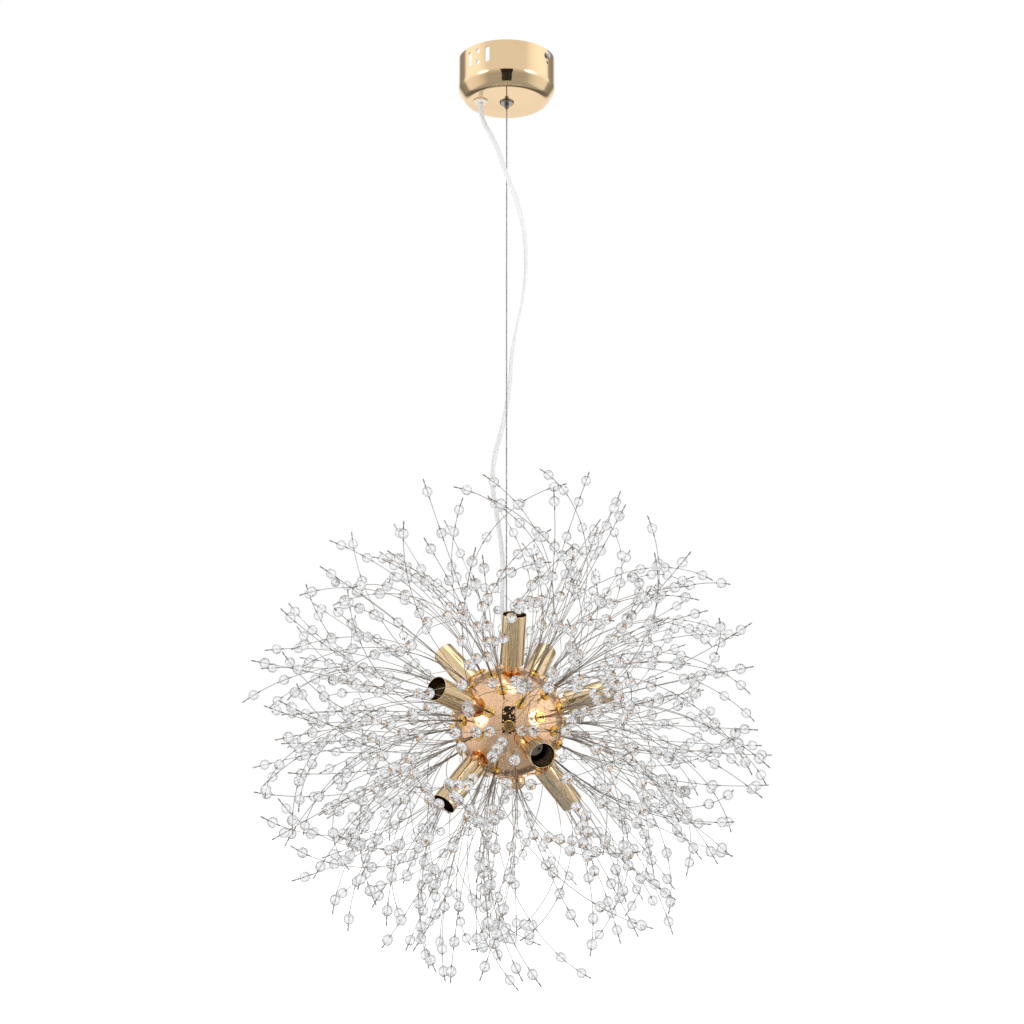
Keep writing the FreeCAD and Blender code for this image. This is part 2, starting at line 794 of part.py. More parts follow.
def hub_bottom():
    """The access port's cover, clamped between the finial outside and a strap inside."""
    lift = "(hub_radius + 2 * seat_gap)"
    dish = primitive("Sphere", "cover_outside", over_hub(ORIGIN), Radius=lift + " + port_cover_wall")
    hollow = primitive("Sphere", "cover_inside", over_hub(ORIGIN), Radius=lift)
    place = pointing(FINIAL_AIM, HUB)
    rim = primitive("Cylinder", "cover_rim", place, Radius="port_cover_radius", Height="2 * hub_radius")
    disc = doc.addObject("Part::Common", "cover_disc")
    disc.Base, disc.Tool = dish, rim
    hole = primitive("Cylinder", "cover_hole", place, Radius="stem_radius + fit_gap", Height="2 * hub_radius")
    node(cut("port_cover", disc, hollow, hole))
    strap_top = "(sqrt((hub_radius - shell_wall)^2 - (port_strap_length / 2)^2 - (port_strap_width / 2)^2) - fit_gap)"
    low = value(strap_top + " - strap_thickness")
    shift = Placement(Vector(-value("port_strap_length") / 2, -value("port_strap_width") / 2, low), Rotation())
    bar = primitive(
        "Box",
        "port_bar",
        place.multiply(shift),
        Length="port_strap_length",
        Width="port_strap_width",
        Height="strap_thickness",
    )
    strap_hole = primitive("Cylinder", "port_bar_hole", place, Radius="stem_radius + fit_gap", Height="hub_radius")
    node(cut("port_strap", bar, strap_hole))
    ball_place = pointing(FINIAL_AIM, HUB, value("hub_radius + finial_rise"))
    ball = primitive("Sphere", "finial_ball", ball_place, Radius="finial_radius")
    seat = primitive("Sphere", "finial_seat", over_hub(ORIGIN), Radius=lift + " + port_cover_wall + seat_gap")
    stem_low = low - value("nut_height") - 1
    stem_place = pointing(FINIAL_AIM, HUB, stem_low)
    stem = primitive("Cylinder", "finial_stem", stem_place, Radius="stem_radius")
    stem.Height = value("hub_radius + 3") - stem_low
    node(joined("finial", cut("finial_cap", ball, seat), stem))
    under = low - value("nut_height + seat_gap")
    node(hex_nut("finial_nut", "stem_radius * 2", "nut_height", "stem_radius + seat_gap", place, under))


# ---- lamp cups ---------------------------------------------------------------------------------------------------

CUP_FLOOR = "hub_radius + collar_height"
HOLDER_SEAT = CUP_FLOOR + " + cup_wall * 1.5 + lamp_nut_height + 3 * seat_gap"
NIPPLE_TOP = HOLDER_SEAT + " + holder_socket - fit_gap"


def lamp_cups():
    for i, direction in enumerate(CUPS, 1):
        outline = [
            ("lamp_thread_radius + fit_gap", CUP_FLOOR + " + seat_gap"),
            ("cup_radius - cup_heel", CUP_FLOOR + " + seat_gap"),
            ("cup_radius", CUP_FLOOR + " + seat_gap + cup_heel"),
            ("cup_radius", CUP_FLOOR + " + cup_length"),
            ("cup_radius - cup_wall", CUP_FLOOR + " + cup_length"),
            ("cup_radius - cup_wall", CUP_FLOOR + " + cup_wall * 1.5"),
            ("lamp_thread_radius + fit_gap", CUP_FLOOR + " + cup_wall * 1.5"),
        ]
        node(turned(f"lamp_cup_{i}", outline, pointing(direction)))


def lamp_fittings():
    places = [pointing(direction) for direction in CUPS]
    nut_top = "sqrt((hub_radius - shell_wall)^2 - lamp_nut_corner_radius^2) - fit_gap"
    form = turned("nipple_form", tube("lamp_bore_radius", "lamp_thread_radius", nut_top + " - 6", NIPPLE_TOP))
    copies("lamp_nipples", form, places)
    edge = "sqrt(hub_radius^2 - collar_radius^2) + 0.15"
    groove = "collar_radius - collar_groove"
    collar = [
        ("lamp_thread_radius + fit_gap", "sqrt(hub_radius^2 - lamp_thread_radius^2) + 0.2"),
        ("collar_radius", edge),
        ("collar_radius", "hub_radius + collar_height * 0.3"),
        (groove, "hub_radius + collar_height * 0.36"),
        (groove, "hub_radius + collar_height * 0.46"),
        ("collar_radius", "hub_radius + collar_height * 0.52"),
        ("collar_radius", "hub_radius + collar_height * 0.7"),
        (groove, "hub_radius + collar_height * 0.76"),
        (groove, CUP_FLOOR),
        ("lamp_thread_radius + fit_gap", CUP_FLOOR),
    ]
    copies("lamp_collars", turned("collar_form", collar), places)
    low = value(nut_top + " - lamp_nut_height")
    bore = "lamp_thread_radius + seat_gap"
    here = Placement()
    form = hex_nut("hub_lamp_nut_form", "lamp_nut_corner_radius", "lamp_nut_height", bore, here, low)
    copies("hub_lamp_nuts", form, places)
    low = value(CUP_FLOOR + " + cup_wall * 1.5 + seat_gap")
    form = hex_nut("cup_nut_form", "lamp_nut_corner_radius", "lamp_nut_height", bore, here, low)
    copies("cup_nuts", form, places)
    top = HOLDER_SEAT + " + holder_length"
    holder = turned(
        "holder_blank",
        [
            ("0", HOLDER_SEAT + " + holder_socket"),
            (bore, HOLDER_SEAT + " + holder_socket"),
            (bore, HOLDER_SEAT),
            ("holder_radius - 0.6", HOLDER_SEAT),
            ("holder_radius", HOLDER_SEAT + " + 0.6"),
            ("holder_radius", top + " - 1"),
            ("holder_radius - 1", top),
            ("0", top),
        ],
    )
    pins = [
        primitive(
            "Cylinder",
            f"pin_hole_{i}",
            Placement(Vector(side * value("pin_hole_pitch") / 2, 0, value(top + " - pin_hole_depth")), Rotation()),
            Radius="pin_hole_radius",
            Height="pin_hole_depth",
        )
        for i, side in enumerate((-1, 1))
    ]
    copies("lamp_holders", cut("holder_form", holder, *pins), places)
    lead = primitive("Cylinder", "lamp_lead_form", Radius="lamp_lead_radius")
    lead.setExpression("Height", bound(f"{HOLDER_SEAT} + holder_socket - junction_radius - 3 * fit_gap"))
    lead_low = value("junction_radius + 2 * fit_gap")
    copies("lamp_leads", lead, [pointing(direction, HUB, lead_low) for direction in CUPS])


# ---- sprays --------------------------------------------------------------------------------------------------------


def grommet_directions():
    """Evenly spread directions, less those that a lamp cup, the top cap or a strap inside stops."""
    count, radius = int(value("grommet_places")), value("hub_radius")
    flange = value("grommet_flange_radius")
    barrel = math.asin(value("(grommet_radius + 5 * fit_gap) / (hub_radius - grommet_depth)"))
    inside = value("hub_radius - shell_wall")
    strap = math.asin(math.hypot(value("strap_length") / 2, value("strap_front")) / inside)
    port_strap = math.asin(math.hypot(value("port_strap_length"), value("port_strap_width")) / 2 / inside)
    keep_out = [
        (CUPS, (value("cup_radius + spray_gap") + flange) / radius),
        ([TOP_POLE], max(strap + barrel, (value("cap_radius + spray_gap") + flange) / radius)),
        ([FINIAL_AIM], max(port_strap + barrel, (value("port_cover_radius + spray_gap") + flange) / radius)),
    ]
    kept = []
    for i in range(count):
        height = 1 - (2 * i + 1) / count
        azimuth = math.degrees(i * math.pi * (3 - math.sqrt(5)))
        direction = aim(azimuth, math.degrees(math.asin(height)))
        if all(direction.getAngle(other) >= angle for others, angle in keep_out for other in others):
            kept.append(direction)
    return kept


def gap_to_run(point, start, end):
    """The distance from a point to a straight run."""
    along = end - start
    share = max(0, min(1, (point - start).dot(along) / along.dot(along)))
    return (start + along * share).distanceToPoint(point)


def gap_between_runs(a, b, c, d):
    """The distance between two short straight runs, a to b and c to d."""
    u, v, w = b - a, d - c, a - c
    uu, uv, vv, uw, vw = u.dot(u), u.dot(v), v.dot(v), u.dot(w), v.dot(w)
    spread = uu * vv - uv * uv
    share = max(0, min(1, (uv * vw - vv * uw) / spread)) if spread > 1e-6 else 0.5
    other = max(0, min(1, (uv * share + vw) / vv))
    share = max(0, min(1, (uv * other - uw) / uu))
    return (a + u * share).distanceToPoint(c + v * other)


TRIES = 60
ROWS = ("tip", "middle", "inner")


class Room:
    """What a new wire has to stay clear of: the cups, the cable, the cord, and the wires and beads so far."""

    CELL = 12
    WIRE_CELL = 4

    def __init__(self):
        radius, length = value("cup_radius"), value(CUP_FLOOR + " + cup_length + spray_gap")
        self.runs = [(HUB + d * value("hub_radius"), HUB + d * length, radius) for d in CUPS]
        self.runs.append((HUB + UP * value("hub_radius"), ORIGIN, value("cable_radius")))
        route = cord_route()
        self.runs += [(a, b, value("cord_radius")) for a, b in zip(route, route[1:])]
        self.cells, self.wire_cells = {}, {}

    @staticmethod
    def near(cells, point, size):
        x, y, z = (math.floor(c / size) for c in point)
        span = (-1, 0, 1)
        return [held for i in span for j in span for k in span for held in cells.get((x + i, y + j, z + k), ())]

    @staticmethod
    def put(cells, point, size, held):
        cells.setdefault(tuple(math.floor(c / size) for c in point), []).append(held)

    def clear(self, point, radius):
        gap = value("spray_gap")
        if any(gap_to_run(point, a, b) < r + radius + gap for a, b, r in self.runs):
            return False
        wire = value("wire_radius")
        return not any(
            (radius > wire or r > wire) and point.distanceToPoint(other) < radius + r + gap / 3
            for other, r in self.near(self.cells, point, self.CELL)
        )

    def crossed(self, line):
        """Whether a wire along these points would touch an earlier one."""
        least = value("2 * wire_radius + wire_gap / 2")
        return any(
            gap_between_runs(a, b, c, d) < least
            for a, b in zip(line, line[1:])
            for c, d in self.near(self.wire_cells, (a + b) * 0.5, self.WIRE_CELL)
        )

    def fill(self, point, radius):
        self.put(self.cells, point, self.CELL, (point, radius))

    def fill_line(self, line):
        for a, b in zip(line, line[1:]):
            self.put(self.wire_cells, (a + b) * 0.5, self.WIRE_CELL, (a, b))


class Spray:
    """One wire: straight in its bundle, then a single arc that splays outward to its tip."""

    STEP = 3

    def __init__(self, direction, splay, root, straight, turn, length, spacings):
        self.direction, self.splay, self.root = direction, splay, root
        self.turn, self.length = turn, length
        self.straight, self.start = straight, root + direction * straight
        self.bead_distances = list(itertools.accumulate([value("tip_length"), *spacings]))

    def at(self, distance):
        """The point and direction that far from the tip, on the arc."""
        radius = self.length / self.turn
        angle = (self.length - distance) / radius
        point = self.start + self.direction * (radius * math.sin(angle))
        point += self.splay * (radius * (1 - math.cos(angle)))
        return point, self.direction * math.cos(angle) + self.splay * math.sin(angle)

    def path(self):
        tip, middle = self.at(0)[0], self.at(self.length / 2)[0]
        return Part.Wire(
            [Part.LineSegment(self.root, self.start).toShape(), Part.Arc(self.start, middle, tip).toShape()]
        )

    def beads(self):
        return [self.at(distance) for distance in self.bead_distances]

    def arc_points(self):
        """Points from the tip to the arc's start, about a step apart."""
        steps = int(self.length / self.STEP)
        return [self.at(self.length * i / steps)[0] for i in range(steps + 1)]

    def line(self):
        """The whole wire as points about a step apart."""
        steps = math.ceil(self.straight / self.STEP)
        run = [self.start + (self.root - self.start) * (i / steps) for i in range(1, steps + 1)]
        return self.arc_points() + run

    def fits(self, room):
        wire, bead = value("wire_radius"), value("bead_radius")
        return (
            all(room.clear(point, bead) for point, _ in self.beads())
            and all(room.clear(point, wire) for point in self.arc_points())
            and not room.crossed(self.line())
        )

    def fill(self, room):
        for point, _ in self.beads():
            room.fill(point, value("bead_radius"))
        for point in self.arc_points():
            room.fill(point, value("wire_radius"))
        room.fill_line(self.line())


def arc_length(start, turn, reach):
    """How long an arc must be to end that far from the hub's centre, if it starts at start along its radius."""
    ahead, aside = math.sin(turn) / turn, (1 - math.cos(turn)) / turn
    square, half = ahead**2 + aside**2, start * ahead
    return (math.sqrt(half**2 + square * (reach**2 - start**2)) - half) / square


def sprays(directions):
    """Every wire of every bundle, each tried with new chances until it is clear of the rest."""
    chance, room, wires = random.Random(7), Room(), []
    per_bundle, droop, swing = int(value("wires_per_bundle")), value("droop"), value("splay_swing")
    root_radius = value("hub_radius + grommet_flange_height - bundle_ferrule_length")
    for direction in directions:
        side = direction.cross(UP if abs(direction.z) < 0.9 else Vector(1, 0, 0)).normalize()
        other = direction.cross(side)
        phase = chance.uniform(0, 60)
        for i in range(per_bundle):
            angle = math.radians(phase + 360 * i / max(1, per_bundle - 1))
            ring = side * math.cos(angle) + other * math.sin(angle)
            root = HUB + direction * root_radius + ring * (value("2 * wire_radius + wire_gap") if i else 0)
            for attempt in range(TRIES):
                angle_now = angle + math.radians(chance.uniform(-swing, swing))
                splay = side * math.cos(angle_now) + other * math.sin(angle_now)
                splay = (splay + (direction * direction.z - UP) * droop).normalize()
                bend = "turn" if i else "middle"
                turn = math.radians(chance.uniform(value(bend + "_least"), value(bend + "_most")))
                straight = value("grommet_depth") + chance.uniform(value("straight_least"), value("straight_most"))
                reach = value("wire_reach") - chance.uniform(0, 1) ** 1.6 * value("reach_spread")
                length = arc_length(root_radius + straight, turn, reach)
                spacings = [value("bead_spacing") + chance.uniform(0, value("spacing_spread")) for _ in ROWS[1:]]
                wire = Spray(direction, splay, root, straight, turn, length, spacings)
                if wire.fits(room):
                    wire.fill(room)
                    wires.append(wire)
                    break
    print("sprays:", len(directions), "bundles,", len(wires), "wires")
    return wires


def spray_nodes(directions):
    flange_low = "sqrt(hub_radius^2 - grommet_radius^2) + 0.15"
    flange_top = "hub_radius + grommet_flange_height"
    grommet = [
        ("grommet_bore_radius", "hub_radius - grommet_depth"),
        ("grommet_radius", "hub_radius - grommet_depth"),
        ("grommet_radius", flange_low),
        ("grommet_flange_radius", "sqrt(hub_radius^2 - grommet_flange_radius^2) + 0.15"),
        ("grommet_flange_radius", flange_top + " - 0.5"),
        ("grommet_flange_radius - 0.5", flange_top),
        ("grommet_bore_radius + 1", flange_top),
        ("grommet_bore_radius + 0.8", flange_top + " + grommet_lip_height"),
        ("grommet_bore_radius", flange_top + " + grommet_lip_height"),
    ]
    places = [pointing(direction) for direction in directions]
    copies("grommets", turned("grommet_form", grommet), places)
    bore, outside = "3 * wire_radius + 2 * wire_gap + seat_gap", "grommet_bore_radius - 2 * fit_gap"
    ferrule = tube(bore, outside, flange_top + " - bundle_ferrule_length", flange_top)
    copies("bundle_ferrules", turned("bundle_ferrule_form", ferrule), places)
    wires = sprays(directions)
    tiers = int(value("spray_tiers"))
    share = math.ceil(len(wires) / tiers)
    for tier in range(tiers):
        solids = [swept(wire.path(), value("wire_radius")) for wire in wires[tier * share : (tier + 1) * share]]
        feature(f"wire_sprays_{tier + 1}", Part.makeCompound(solids))
    bead = turned(
        "bead_form",
        [
            ("bead_bore_radius", "-bead_radius * cos(22.5)"),
            ("bead_radius * sin(22.5)", "-bead_radius * cos(22.5)"),
            ("bead_radius * cos(22.5)", "-bead_radius * sin(22.5)"),
            ("bead_radius * cos(22.5)", "bead_radius * sin(22.5)"),
            ("bead_radius * sin(22.5)", "bead_radius * cos(22.5)"),
            ("bead_bore_radius", "bead_radius * cos(22.5)"),
        ],
    )
    half = len(wires) // 2
    for level, some in (("upper", wires[:half]), ("lower", wires[half:])):
        for i, row in enumerate(ROWS):
            copies(f"{row}_beads_{level}", bead, [pointing(*wire.beads()[i][::-1]) for wire in some])


# ---- the whole pendant -----------------------------------------------------------------------------------------------


def build():
    canopy_cover()
    ceiling_bracket()
    canopy_fasteners()
    terminal_block()
    mains_leads()
    gripper()
    suspension()
    flange = ("bushing_flange_radius", "bushing_flange_height")
    cord_bushing("cord_bushing", *flange, "bushing_radius", "bushing_depth", BUSHING_SEAT, False)
    power_cord()
    hub_top()
    directions = grommet_directions()
    hub_shell(directions)
    hub_bottom()
    lamp_cups()
    lamp_fittings()
    spray_nodes(directions)


def check():
    """Stops if the document or a sub-part is broken."""
    doc.recompute()
    for thing in doc.Objects:
        if "Invalid" in thing.State or "Error" in thing.State:
            raise RuntimeError(f"{thing.Label} failed: {thing.State}")
    for thing in nodes:
        if thing.Shape.isNull() or not thing.Shape.isValid() or not thing.Shape.Solids:
            raise RuntimeError(f"{thing.Label} has no valid solid")
    if len({thing.Label for thing in nodes}) != len(nodes):
        raise RuntimeError("two sub-parts share a label")


def write():
    os.makedirs("parts", exist_ok=True)
    for thing in nodes:
        thing.Shape.exportStep(f"parts/{thing.Label}.step")
        print(thing.Label, len(thing.Shape.Solids), round(thing.Shape.Volume, 1))


build()
check()
write()
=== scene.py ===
"""Crystal firework pendant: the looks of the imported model, on a plain studio stage."""

import json
import math
import random

import bpy
import numpy as np
from mathutils import Matrix, Vector


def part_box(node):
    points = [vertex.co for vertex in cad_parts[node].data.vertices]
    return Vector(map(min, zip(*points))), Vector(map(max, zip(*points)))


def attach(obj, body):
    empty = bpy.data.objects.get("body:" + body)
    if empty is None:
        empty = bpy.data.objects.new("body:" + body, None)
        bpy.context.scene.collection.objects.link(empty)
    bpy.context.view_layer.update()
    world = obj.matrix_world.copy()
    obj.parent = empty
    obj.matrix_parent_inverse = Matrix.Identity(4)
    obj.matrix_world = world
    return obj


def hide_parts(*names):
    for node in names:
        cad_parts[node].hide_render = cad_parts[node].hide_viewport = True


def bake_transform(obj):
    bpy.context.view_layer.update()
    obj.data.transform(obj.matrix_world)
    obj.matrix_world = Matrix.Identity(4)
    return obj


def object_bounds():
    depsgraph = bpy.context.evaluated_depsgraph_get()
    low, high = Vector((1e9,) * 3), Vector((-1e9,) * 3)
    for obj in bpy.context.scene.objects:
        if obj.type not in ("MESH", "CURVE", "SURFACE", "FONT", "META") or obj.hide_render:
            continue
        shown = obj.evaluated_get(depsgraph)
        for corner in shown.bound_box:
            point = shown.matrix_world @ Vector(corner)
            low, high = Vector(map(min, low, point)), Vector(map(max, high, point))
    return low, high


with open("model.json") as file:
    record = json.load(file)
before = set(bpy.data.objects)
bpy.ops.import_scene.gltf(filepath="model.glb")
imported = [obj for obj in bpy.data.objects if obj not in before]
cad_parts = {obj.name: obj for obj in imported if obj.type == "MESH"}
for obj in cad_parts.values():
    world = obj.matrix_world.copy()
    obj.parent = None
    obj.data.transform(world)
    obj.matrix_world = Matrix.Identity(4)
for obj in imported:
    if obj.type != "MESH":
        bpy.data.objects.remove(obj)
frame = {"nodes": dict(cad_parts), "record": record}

CAD_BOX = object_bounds()
TAU = 2 * math.pi
nodes = frame["nodes"]


# ---- camera --------------------------------------------------------------------------------------

CAMERA_PLACE = Vector((0.0055, -1.433, -0.686))
CAMERA_PITCH = math.radians(8.4)
FOCAL_LENGTH = 51.2


def make_camera():
    data = bpy.data.cameras.new("camera")
    data.lens = FOCAL_LENGTH
    data.sensor_width = 36
    data.clip_start, data.clip_end = 0.01, 60
    camera = bpy.data.objects.new("camera", data)
    camera.location = CAMERA_PLACE
    camera.rotation_euler = (math.radians(90) + CAMERA_PITCH, 0, 0)
    bpy.context.scene.collection.objects.link(camera)
    bpy.context.scene.camera = camera


make_camera()

# ---- mesh helpers --------------------------------------------------------------------------------


def add_mesh(name, verts, faces, material=None, smooth=True):
    mesh = bpy.data.meshes.new(name)
    mesh.from_pydata([tuple(v) for v in verts], [], faces)
    mesh.validate()
    mesh.update()
    mesh.shade_smooth() if smooth else mesh.shade_flat()
    obj = bpy.data.objects.new(name, mesh)
    bpy.context.scene.collection.objects.link(obj)
    if material:
        mesh.materials.append(material)
    return obj


def centre_line(spline_points):
    """Points along a NURBS spline with these control points."""
    curve = bpy.data.curves.new("route", "CURVE")
    curve.dimensions = "3D"
    spline = curve.splines.new("NURBS")
    spline.points.add(len(spline_points) - 1)
    for point, place in zip(spline.points, spline_points):
        point.co = (*place, 1)
    spline.order_u = 3
    spline.use_endpoint_u = True
    spline.resolution_u = 16
    obj = bpy.data.objects.new("route", curve)
    mesh = bpy.data.meshes.new_from_object(obj)
    points = [v.co.copy() for v in mesh.vertices]
    bpy.data.objects.remove(obj)
    bpy.data.curves.remove(curve)
    bpy.data.meshes.remove(mesh)
    return points


def even(points, step):
    """The same line with points that far apart."""
    out, left = [points[0].copy()], step
    for a, b in zip(points, points[1:]):
        length = (b - a).length
        while length - left > 1e-9:
            a = a + (b - a) * (left / length)
            length -= left
            left = step
            out.append(a.copy())
        left -= length
    if (out[-1] - points[-1]).length > step * 0.3:
        out.append(points[-1].copy())
    else:
        out[-1] = points[-1].copy()
    return out


def frames_along(points):
    """A steady pair of side directions at each point of a line."""
    last = len(points) - 1
    tangents = [(points[min(i + 1, last)] - points[max(i - 1, 0)]).normalized() for i in range(last + 1)]
    side = tangents[0].orthogonal().normalized()
    out = []
    for tangent in tangents:
        side = (side - tangent * side.dot(tangent)).normalized()
        out.append((tangent, side, tangent.cross(side)))
    return out


def tube(points, section):
    """Vertices and faces of a closed tube whose section(i) gives points across it as (side, other) pairs."""
    verts, faces = [], []
    for i, (point, (_, side, other)) in enumerate(zip(points, frames_along(points))):
        ring = section(i)
        verts += [point + side * x + other * y for x, y in ring]
    n = len(section(0))
    for i in range(len(points) - 1):
        for k in range(n):
            a, b = i * n + k, i * n + (k + 1) % n
            faces.append((a, b, b + n, a + n))
    faces.append(tuple(range(n - 1, -1, -1)))
    faces.append(tuple(len(verts) - n + k for k in range(n)))
    return verts, faces


def merge(parts):
    """Several (vertices, faces) lists as one."""
    verts, faces = [], []
    for part_verts, part_faces in parts:
        start = len(verts)
        verts += list(part_verts)
        faces += [tuple(start + i for i in face) for face in part_faces]
    return verts, faces


def turned(profile, sides=48):
    """A closed ring or disc turned about Z from an outline of (radius, height) points."""
    verts, rings, faces = [], [], []
    for radius, height in profile:
        if radius < 1e-7:
            rings.append([len(verts)] * sides)
            verts.append(Vector((0, 0, height)))
        else:
            rings.append(list(range(len(verts), len(verts) + sides)))
            verts += [
                Vector((radius * math.cos(TAU * k / sides), radius * math.sin(TAU * k / sides), height))
                for k in range(sides)
            ]
    for lower, upper in zip(rings, rings[1:] + rings[:1]):
        for k in range(sides):
            face = []
            for index in (lower[k], lower[(k + 1) % sides], upper[(k + 1) % sides], upper[k]):
                if index not in face:
                    face.append(index)
            if len(face) > 2:
                faces.append(tuple(face))
    return verts, faces


def placed(part, place, direction):
    """A (vertices, faces) pair moved so that its Z runs along direction from that place."""
    turn = Vector((0, 0, 1)).rotation_difference(Vector(direction)).to_matrix()
    return [turn @ Vector(v) + Vector(place) for v in part[0]], part[1]


# ---- shader helpers ------------------------------------------------------------------------------


class Shader:
    """A small builder for one material's nodes."""

    def __init__(self, name, colour, metallic=0.0, roughness=0.4, **extra):
        self.material = bpy.data.materials.new(name)
        self.material.use_nodes = True
        self.tree = self.material.node_tree
        self.main = self.tree.nodes["Principled BSDF"]
        self.main.inputs["Base Color"].default_value = (*colour, 1)
        self.main.inputs["Metallic"].default_value = metallic
        self.main.inputs["Roughness"].default_value = roughness
        for key, number in extra.items():
            self.main.inputs[key.replace("_", " ").title().replace("Ior", "IOR")].default_value = number

    def node(self, kind, **settings):
        made = self.tree.nodes.new("ShaderNode" + kind)
        for key, setting in settings.items():
            if key in made.inputs:
                made.inputs[key].default_value = setting
            else:
                setattr(made, key, setting)
        return made

    def link(self, source, target):
        self.tree.links.new(source, target)

    def noise(self, scale, detail=3.0, stretch=(1, 1, 1)):
        """Noise in the object's own space: the piece sits at the origin, so that is the row's frame."""
        space = self.node("TexCoord")
        mapping = self.node("Mapping")
        mapping.inputs["Scale"].default_value = stretch
        noise = self.node("TexNoise")
        noise.inputs["Scale"].default_value = scale
        noise.inputs["Detail"].default_value = detail
        self.link(space.outputs["Object"], mapping.inputs["Vector"])
        self.link(mapping.outputs["Vector"], noise.inputs["Vector"])
        return noise.outputs["Fac"]

    def spread(self, source, low, high, start=0.35, end=0.65):
        """The source's middle range mapped to between low and high."""
        span = self.node("MapRange")
        for key, number in (("From Min", start), ("From Max", end), ("To Min", low), ("To Max", high)):
            span.inputs[key].default_value = number
        self.link(source, span.inputs["Value"])
        return span.outputs["Result"]

    def tint(self, source, first, second):
        """A colour between two, by the source."""
        mix = self.node("Mix", data_type="RGBA")
        mix.inputs["A"].default_value = (*first, 1)
        mix.inputs["B"].default_value = (*second, 1)
        self.link(source, mix.inputs["Factor"])
        self.link(mix.outputs["Result"], self.main.inputs["Base Color"])
        return mix.outputs["Result"]

    def vary_roughness(self, source, low, high):
        self.link(self.spread(source, low, high), self.main.inputs["Roughness"])

    def bump(self, source, depth, strength=1.0):
        made = self.node("Bump")
        made.inputs["Strength"].default_value = strength
        made.inputs["Distance"].default_value = depth
        self.link(source, made.inputs["Height"])
        self.link(made.outputs["Normal"], self.main.inputs["Normal"])


def plated(name, colour, dark, roughness, grain=0.000002):
    """Polished plating: nearly even, with faint tarnish, smears and the slightest waviness."""
    shader = Shader(name, colour, metallic=1.0, roughness=roughness)
    tarnish = shader.noise(22.0, 4.0)
    shader.tint(shader.spread(tarnish, 0.0, 1.0, 0.45, 0.9), colour, dark)
    shader.vary_roughness(shader.noise(60.0, 5.0), roughness * 0.7, roughness * 1.5)
    shader.bump(shader.noise(140.0, 2.0), grain, 0.5)
    return shader.material


def zinc_plated():
    shader = Shader("zinc_plated_steel", (0.62, 0.63, 0.65), metallic=1.0, roughness=0.34)
    shader.tint(shader.spread(shader.noise(160.0, 6.0), 0.0, 1.0), (0.68, 0.69, 0.71), (0.48, 0.50, 0.53))
    shader.vary_roughness(shader.noise(300.0, 4.0), 0.25, 0.45)
    shader.bump(shader.noise(1500.0, 3.0), 0.00003, 0.4)
    return shader.material


def spring_wire():
    """Black-nickel wire: finely varied gloss, and worn lighter in places."""
    shader = Shader("black_nickel_wire", (0.34, 0.30, 0.265), metallic=1.0, roughness=0.3)
    wear = shader.noise(70.0, 4.0)
    shader.tint(shader.spread(wear, 0.0, 1.0, 0.4, 0.75), (0.31, 0.275, 0.24), (0.52, 0.465, 0.41))
    shader.vary_roughness(shader.noise(400.0, 3.0), 0.22, 0.4)
    return shader.material


def rope_steel():
    shader = Shader("rope_steel", (0.55, 0.55, 0.55), metallic=1.0, roughness=0.3)
    shader.tint(shader.spread(shader.noise(500.0, 4.0), 0.0, 1.0), (0.60, 0.60, 0.61), (0.36, 0.36, 0.37))
    shader.vary_roughness(shader.noise(800.0, 3.0), 0.22, 0.42)
    return shader.material


def tinned_copper():
    shader = Shader("tinned_copper", (0.72, 0.70, 0.68), metallic=1.0, roughness=0.28)
    shader.tint(shader.spread(shader.noise(700.0, 4.0), 0.0, 1.0), (0.78, 0.76, 0.74), (0.50, 0.47, 0.45))
    return shader.material


def clear_plastic():
    """Flexible clear insulation: cloudy enough to look pale, glossy outside."""
    shader = Shader(
        "clear_pvc", (0.84, 0.84, 0.83), roughness=0.2, transmission_weight=0.12, ior=1.45, coat_weight=0.5
    )
    shader.vary_roughness(shader.noise(120.0, 4.0), 0.14, 0.28)
    shader.bump(shader.noise(160.0, 2.0), 0.00002, 0.5)
    return shader.material


def cut_crystal():
    """Clear crystal: polished facets with the faintest smears."""
    shader = Shader("cut_crystal", (0.985, 0.99, 1.0), roughness=0.0, transmission_weight=1.0, ior=1.56)
    shader.vary_roughness(shader.noise(300.0, 3.0), 0.0, 0.05)
    return shader.material


def ceramic_with_painted_shade():
    # Painted shade: the white glazed ceramic is given a darker grey-beige colour to stand for the shade it
    # sits in. The noise below varies its tone at random.
    shader = Shader("glazed_ceramic_painted_shade", (0.55, 0.52, 0.47), roughness=0.25, coat_weight=0.6, coat_roughness=0.1)
    shader.tint(shader.spread(shader.noise(200.0, 5.0), 0.0, 1.0), (0.55, 0.52, 0.47), (0.46, 0.43, 0.38))
    shader.bump(shader.noise(900.0, 3.0), 0.00005, 0.5)
    return shader.material


def moulded_plastic(name, colour, dark):
    shader = Shader(name, colour, roughness=0.45)
    shader.tint(shader.spread(shader.noise(300.0, 5.0), 0.0, 1.0), colour, dark)
    shader.vary_roughness(shader.noise(500.0, 3.0), 0.38, 0.55)
    shader.bump(shader.noise(2500.0, 3.0), 0.00003, 0.5)
    return shader.material


